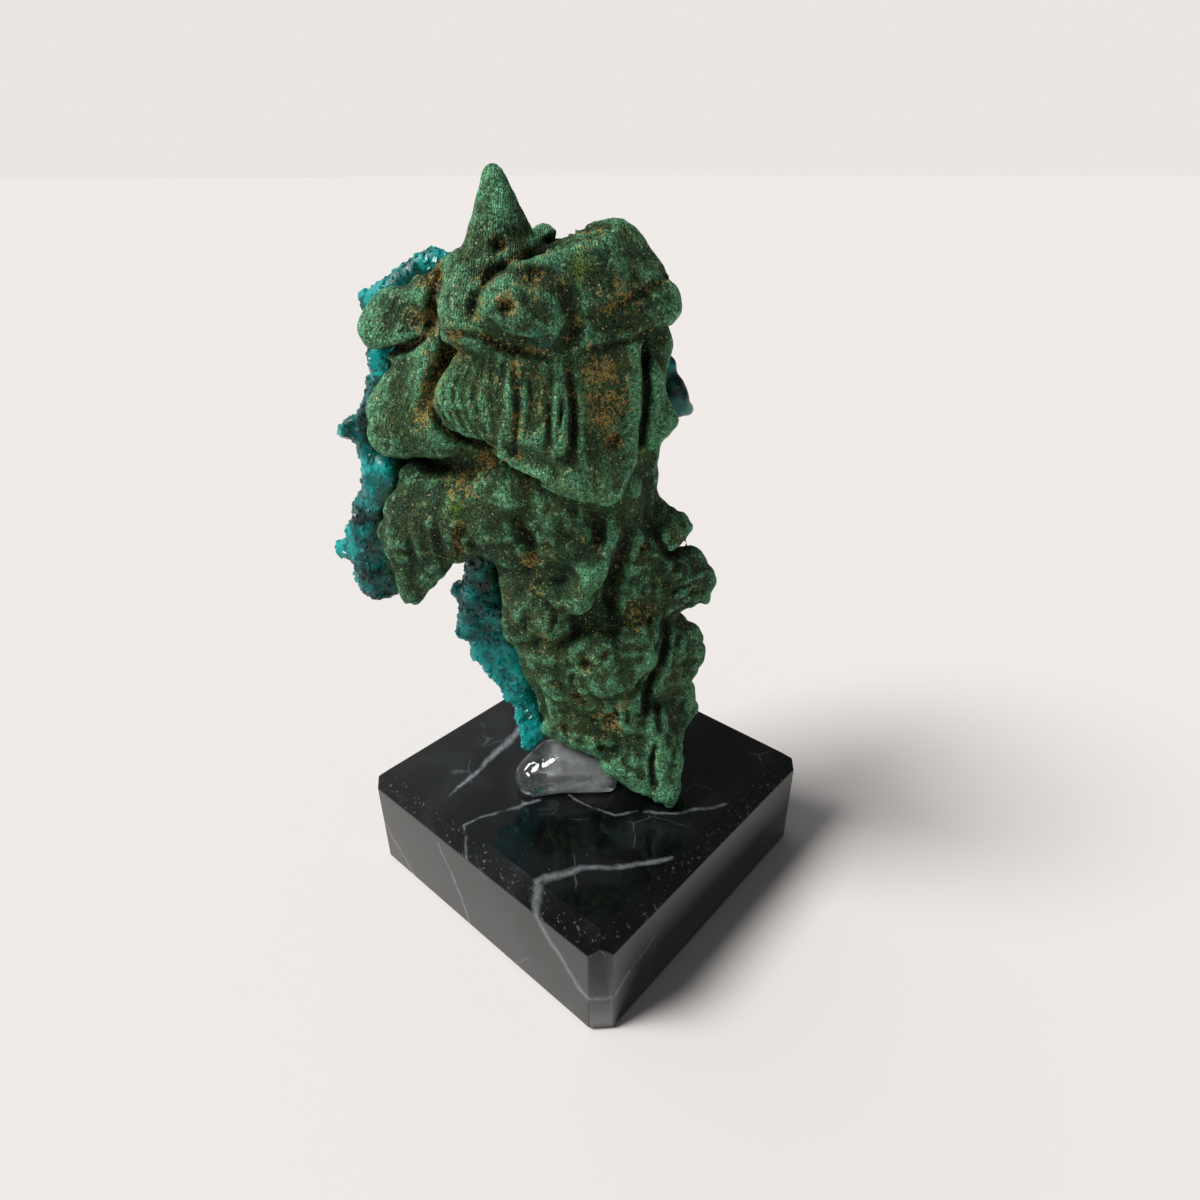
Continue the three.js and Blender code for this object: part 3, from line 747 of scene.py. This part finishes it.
def dress_dioptase(name, clarity, sugar):
    """Teal dioptase: clarity is how much light passes through it, sugar how grainy its skin is."""
    material, tree, glass = new_material(name)
    place = wire(tree, "ShaderNodeTexCoord").outputs["Object"]
    lumps = between(tree, speckle(tree, place, 2.4, 3), 0.3, 0.7)
    grains = speckle(tree, place, 0.4, 4, 0.7)
    flakes = crumbs(tree, place, 0.4)
    # Painted light on the thin edges and painted shade in the pockets are mixed into the shade of its
    # teal.
    shade = weighed(
        tree, (read(tree, "tint"), 0.25), (lumps, 1.0), (flakes, 0.3),
        (read(tree, "edge_light_and_low_cyan"), 0.55), (read(tree, "pocket_shade_and_dark_crust"), -0.7),
    )
    teal = between(tree, shade, 0.2, 0.8)
    teal = mingle(tree, teal, (0.0008, 0.016, 0.014, 1), (0.002, 0.105, 0.094, 1))
    teal = mingle(tree, between(tree, shade, 0.8, 1.4), teal, (0.005, 0.36, 0.34, 1))
    pale = times(tree, between(tree, grains, 0.5, 0.7), between(tree, flakes, 0.88, 0.95))
    teal = mingle(tree, times(tree, pale, 0.5), teal, (0.05, 0.4, 0.37, 1))
    # Close to the malachite a green film lies over it.
    film = weighed(tree, (read(tree, "clear"), 1.0), (lumps, 3.0))
    teal = mingle(tree, between(tree, film, 2.2, 1.3, 0, 0.8), teal, (0.015, 0.075, 0.03, 1))
    tree.links.new(teal, glass.inputs["Base Color"])
    tree.links.new(between(tree, grains, 0.35, 0.65, 0.05, 0.15 + sugar / 2), glass.inputs["Roughness"])
    facets = crumbs(tree, place, 1.1)
    height = weighed(tree, (grains, 0.3), (facets, 1.5))
    feeds = {"Height": height, "Strength": 0.2 + 0.8 * sugar, "Distance": 0.35 * MM}
    bump = wire(tree, "ShaderNodeBump", feeds)
    tree.links.new(bump.outputs["Normal"], glass.inputs["Normal"])
    glass.inputs["Transmission Weight"].default_value = clarity
    glass.inputs["IOR"].default_value = 1.66
    glass.inputs["Specular IOR Level"].default_value = 0.18
    return material


small_crystals = grow(
    bed, "small_dioptase_crystals", crystal_form(0.5 * MM, 0.62 * MM, 0.4 * MM),
    dress_dioptase("small dioptase", 0.12, 0.2),
    Spacing=0.85 * MM, Smallest=0.5, Largest=1.2, Lean=0.5, Seed=7,
)
large_crystals = grow(
    bed, "large_dioptase_crystals", crystal_form(1.0 * MM, 1.3 * MM, 0.9 * MM),
    dress_dioptase("large dioptase", 0.12, 0.05),
    Spacing=3.6 * MM, Smallest=0.5, Largest=1.2, Lean=0.5, Seed=3,
)
bed.data.materials.append(dress_dioptase("massive dioptase", 0.05, 0.6))
for piece in (bed, small_crystals, large_crystals):
    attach(piece, "root")
    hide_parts("dioptase_crust")

# ---------------------------------------------------------------------------------------------
# The glue: hot glue pooled under the arch of the foot, glossy, clear at its left end and milky in
# the rest, with a few hairs of it drawn out over the block where the nozzle was lifted away.
# ---------------------------------------------------------------------------------------------
# The hairs, each as places (x, y) on the block's top.
HAIRS = [[(-1.8, -6.5), (-2, -9), (-1.7, -10)], [(-2, -9), (-3.7, -10)]]
POOL_LOW, POOL_HIGH, POOL_STEP = (-16, -16, TOP - 3), (12, 8, TOP + 12), 0.25

pool = Block(POOL_LOW, POOL_HIGH, POOL_STEP)
pool.take_body(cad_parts["adhesive"])
pool.soften(16)
pool.d -= 0.35
pool.d += 0.1 * lumpy(pool.d.shape, 9, 21)
# It slumped forward over the block before it set.
pool.add([(-8.4, -6.4, TOP + 0.9, 2), (-4, -6.4, TOP + 0.5, 1.3), (3, -6.2, TOP + 0.5, 1.3)], 1.5)
for hair in HAIRS:
    pool.add([(x, y, TOP + 0.08, 0.14) for x, y in hair], 0.1)
pool.d = np.maximum(pool.d, TOP + 0.02 - pool.axes[2])
pool_points, pool_faces = pool.to_mesh()
glue = mesh_object("glue", pool_points, pool_faces)
# The clear end lies at the left; the rest is milky.
paint(glue, "milk", np.clip((pool_points[:, 0] + 7.5) / 4, 0, 1))


def dress_glue():
    """Clear resin that milkiness makes paler and lets less light through."""
    material, tree, resin = new_material("clear glue")
    place = wire(tree, "ShaderNodeTexCoord").outputs["Object"]
    clouds = speckle(tree, place, 3.0)
    milk = times(tree, read(tree, "milk"), between(tree, clouds, 0.3, 0.6, 0.45, 1.0))
    colour = mingle(tree, milk, (0.97, 0.99, 0.99, 1), (0.5, 0.52, 0.51, 1))
    tree.links.new(colour, resin.inputs["Base Color"])
    tree.links.new(between(tree, milk, 0.0, 1.0, 0.98, 0.6), resin.inputs["Transmission Weight"])
    tree.links.new(between(tree, clouds, 0.4, 0.65, 0.02, 0.14), resin.inputs["Roughness"])
    bump = wire(tree, "ShaderNodeBump", {"Height": clouds, "Strength": 0.6, "Distance": 0.8 * MM})
    tree.links.new(bump.outputs["Normal"], resin.inputs["Normal"])
    resin.inputs["IOR"].default_value = 1.49
    return material


glue.data.materials.append(dress_glue())
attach(glue, "root")
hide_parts("adhesive")

# ---------------------------------------------------------------------------------------------
# The block: polished black marble with white calcite veins, cut square with flat bevels round
# its top and down its corners. The veins are cracks that filled with calcite; the worn top edge
# is speckled with tiny chips.
# ---------------------------------------------------------------------------------------------
# The main veins: how wide each starts and ends, how white it is, and its places on the block's faces.
# LEFT is the y of its left-hand face, RIGHT the x of its right-hand one.
LEFT = round(float(marble[:, 1].min()), 2)
RIGHT = round(float(marble[:, 0].max()), 2)
VEINS = [
    (1.2, 0.4, 0.7, [(-14.4, -1, TOP), (-12.9, -7, TOP), (-11.7, -12.3, TOP), (-10.6, -20.4, TOP)]),
    (0.5, 0.4, 0.45, [(0.3, -11.6, TOP), (-0.9, -14.8, TOP), (-3.3, -20, TOP), (-3.8, -22.5, TOP),
                      (-1.1, LEFT, 15.5)]),
    (0.3, 0.5, 0.4, [(3, -8, TOP), (11, -6.4, TOP), (13.3, -3.5, TOP), (18.6, 1, TOP), (22.4, 6.7, TOP)]),
    (0.5, 1.0, 0.5, [(22.2, -7.2, TOP), (18.2, -12.8, TOP), (13.9, -16.8, TOP), (11.5, -22.5, TOP)]),
    (1.0, 0.8, 0.4, [(11.5, -22.5, TOP), (13.5, LEFT, 15.5), (15.5, LEFT, 12.4), (17.9, LEFT, 10.6),
                     (20.4, LEFT, 7.7), (22.8, LEFT, 6.8), (RIGHT, -22.4, 7), (RIGHT, -19.6, 8.6)]),
    (0.5, 0.3, 0.25, [(RIGHT, -19.6, 8.6), (RIGHT, -12.4, 11.2)]),
    (0.6, 0.5, 0.35, [(-7.3, LEFT, 13.8), (-4.8, LEFT, 9), (-2.4, LEFT, 2.6), (-1.7, LEFT, 0)]),
    (0.6, 0.6, 0.35, [(-23.5, LEFT, 11), (-22.5, LEFT, 8.3), (-15.5, LEFT, 0)]),
]


def merged_copy(node, name):
    """A CAD node's shape as a piece of its own, with each flat face in one."""
    form = bmesh.new()
    form.from_mesh(node.data)
    bmesh.ops.remove_doubles(form, verts=form.verts, dist=1e-6)
    bmesh.ops.dissolve_limit(form, angle_limit=0.01, verts=form.verts, edges=form.edges)
    return finished(form, name)


block = merged_copy(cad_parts["marble_base"], "marble_block")
arris = block.modifiers.new("arris", "BEVEL")
arris.width = 0.1 * MM
arris.segments = 1


def vein_group():
    """How strongly one straight length of vein shows at a place."""
    group = bpy.data.node_groups.new("vein", "ShaderNodeTree")
    for name in ("Place", "Start", "End"):
        group.interface.new_socket(name, in_out="INPUT", socket_type="NodeSocketVector")
    for name in ("Start Width", "End Width", "Whiteness"):
        group.interface.new_socket(name, in_out="INPUT", socket_type="NodeSocketFloat")
    group.interface.new_socket("Vein", in_out="OUTPUT", socket_type="NodeSocketFloat")
    given = group.nodes.new("NodeGroupInput").outputs

    def vector(operation, a, b=None):
        feeds = {0: a} if b is None else {0: a, 1: b}
        made = wire(group, "ShaderNodeVectorMath", feeds, operation=operation)
        return made.outputs["Value" if operation in ("DOT_PRODUCT", "LENGTH") else "Vector"]

    run = vector("SUBTRACT", given["End"], given["Start"])
    gone = vector("SUBTRACT", given["Place"], given["Start"])
    share = sums(group, "DIVIDE", vector("DOT_PRODUCT", gone, run), vector("DOT_PRODUCT", run, run))
    share = wire(group, "ShaderNodeClamp", {0: share}).outputs[0]
    scaled = wire(group, "ShaderNodeVectorMath", {0: run, "Scale": share}, operation="SCALE")
    distance = vector("LENGTH", vector("SUBTRACT", gone, scaled.outputs["Vector"]))
    taper = times(group, share, sums(group, "SUBTRACT", given["End Width"], given["Start Width"]))
    mask = between(group, distance, sums(group, "ADD", given["Start Width"], taper), 0.0)
    out = group.nodes.new("NodeGroupOutput")
    group.links.new(times(group, mask, given["Whiteness"]), out.inputs["Vein"])
    return group


def dress_marble():
    """Polished black with wandering white veins, a faint net of hairlines and chips."""
    material, tree, stone = new_material("black marble")
    place = wire(tree, "ShaderNodeTexCoord").outputs["Object"]
    clouds = speckle(tree, place, 9, 5)
    flecks = speckle(tree, place, 0.7, 4, 0.7)
    black = between(tree, clouds, 0.4, 0.7)
    black = mingle(tree, black, (0.003, 0.003, 0.0032, 1), (0.011, 0.0115, 0.014, 1))

    # The veins wander a little from their lines, and break up along their length.
    feeds = {"Vector": place, "Scale": 1 / (5 * MM), "Detail": 4.0}
    drift = wire(tree, "ShaderNodeTexNoise", feeds).outputs["Color"]
    drift = wire(tree, "ShaderNodeVectorMath", {0: drift, 1: (0.5, 0.5, 0.5)}, operation="SUBTRACT")
    feeds = {0: drift.outputs["Vector"], "Scale": 2.2 * MM}
    drift = wire(tree, "ShaderNodeVectorMath", feeds, operation="SCALE").outputs["Vector"]
    strayed = wire(tree, "ShaderNodeVectorMath", {0: place, 1: drift}, operation="ADD").outputs["Vector"]
    group = vein_group()
    veins = 0.0
    for first_width, last_width, white, points in VEINS:
        widths = np.linspace(first_width, last_width, len(points))
        for i, (start, end) in enumerate(zip(points[:-1], points[1:])):
            feeds = {
                "Place": strayed,
                "Start": Vector(start) * MM,
                "End": Vector(end) * MM,
                "Start Width": widths[i] * MM,
                "End Width": widths[i + 1] * MM,
                "Whiteness": white,
            }
            made = wire(tree, "ShaderNodeGroup", feeds, node_tree=group)
            veins = sums(tree, "MAXIMUM", veins, made.outputs[0])
    # Between them runs a net of faint hairline veins, in some parts of the block only.
    feeds = {"Vector": strayed, "Scale": 1 / (13 * MM)}
    net = wire(tree, "ShaderNodeTexVoronoi", feeds, feature="DISTANCE_TO_EDGE").outputs["Distance"]
    net = times(tree, between(tree, net, 0.012, 0.0), between(tree, clouds, 0.5, 0.62, 0, 0.2))
    veins = sums(tree, "MAXIMUM", veins, net)
    veins = times(tree, veins, between(tree, flecks, 0.3, 0.55, 0.35, 1.0))
    colour = mingle(tree, veins, black, (0.33, 0.35, 0.36, 1))
    # Chips lie here and there on the faces, and close together along the worn bevel round the top.
    chips = times(tree, between(tree, flecks, 0.66, 0.72), between(tree, clouds, 0.5, 0.62))
    height = wire(tree, "ShaderNodeSeparateXYZ", {0: place}).outputs["Z"]
    bevel = between(tree, height, (TOP - 2.7) * MM, (TOP - 2.3) * MM)
    bevel = times(tree, bevel, between(tree, height, (TOP - 0.02) * MM, (TOP - 0.4) * MM))
    worn = times(tree, bevel, between(tree, flecks, 0.58, 0.68))
    chips = sums(tree, "MAXIMUM", chips, worn)
    colour = mingle(tree, times(tree, chips, 0.5), colour, (0.2, 0.2, 0.19, 1))
    tree.links.new(colour, stone.inputs["Base Color"])
    tree.links.new(between(tree, clouds, 0.4, 0.7, 0.06, 0.16), stone.inputs["Roughness"])
    stone.inputs["Coat Weight"].default_value = 0.15
    stone.inputs["Specular Tint"].default_value = (0.84, 0.95, 0.89, 1)
    return material


block.data.materials.append(dress_marble())
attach(block, "root")
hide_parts("marble_base")

# ---------------------------------------------------------------------------------------------
# The studio: the block stands on pale paper, lit by one broad lamp high up at the viewer's left. The
# room is dim, a little brighter beyond the block's left side, and the paper fills the shadows.
# ---------------------------------------------------------------------------------------------
bpy.ops.mesh.primitive_plane_add(size=30)
floor = bpy.context.object
floor.name = "floor"
paper, tree, shine = new_material("paper")
shine.inputs["Base Color"].default_value = (0.84, 0.8, 0.77, 1)
shine.inputs["Roughness"].default_value = 0.9
shine.inputs["Specular IOR Level"].default_value = 0.0
floor.data.materials.append(paper)

scene = bpy.context.scene
scene.view_settings.view_transform = "Standard"
world = bpy.data.worlds.new("studio")
world.use_nodes = True
tree = world.node_tree
lit = tree.nodes["Background"]
lit.inputs["Color"].default_value = (0.96, 0.97, 1.0, 1)
toward = wire(tree, "ShaderNodeTexCoord").outputs["Generated"]
toward = wire(tree, "ShaderNodeSeparateXYZ", {0: toward}).outputs["X"]
tree.links.new(between(tree, toward, -0.4, -0.8, 0.1, 0.65), lit.inputs["Strength"])
seen = wire(tree, "ShaderNodeBackground", {"Color": (0.83, 0.79, 0.76, 1), "Strength": 1.0})
view = wire(tree, "ShaderNodeLightPath").outputs["Is Camera Ray"]
choice = wire(tree, "ShaderNodeMixShader", {0: view, 1: lit.outputs[0], 2: seen.outputs[0]})
tree.links.new(choice.outputs[0], tree.nodes["World Output"].inputs["Surface"])
scene.world = world

sun = bpy.data.lights.new("key", "SUN")
sun.energy = 3.55
sun.angle = math.radians(25)
lamp = bpy.data.objects.new("key", sun)
lamp.rotation_euler = Vector((-0.37, -0.53, 0.76)).to_track_quat("Z", "Y").to_euler()
scene.collection.objects.link(lamp)

camera_data = bpy.data.cameras.new("camera")
camera_data.sensor_width = 36
camera_data.lens = 22.98
camera_data.clip_start = 0.005
camera = bpy.data.objects.new("camera", camera_data)
camera.location = (0.06504, -0.07007, 0.1015)
camera.rotation_euler = (math.radians(90 - 29.31), math.radians(0.18), math.radians(41.55))
scene.collection.objects.link(camera)
scene.camera = camera
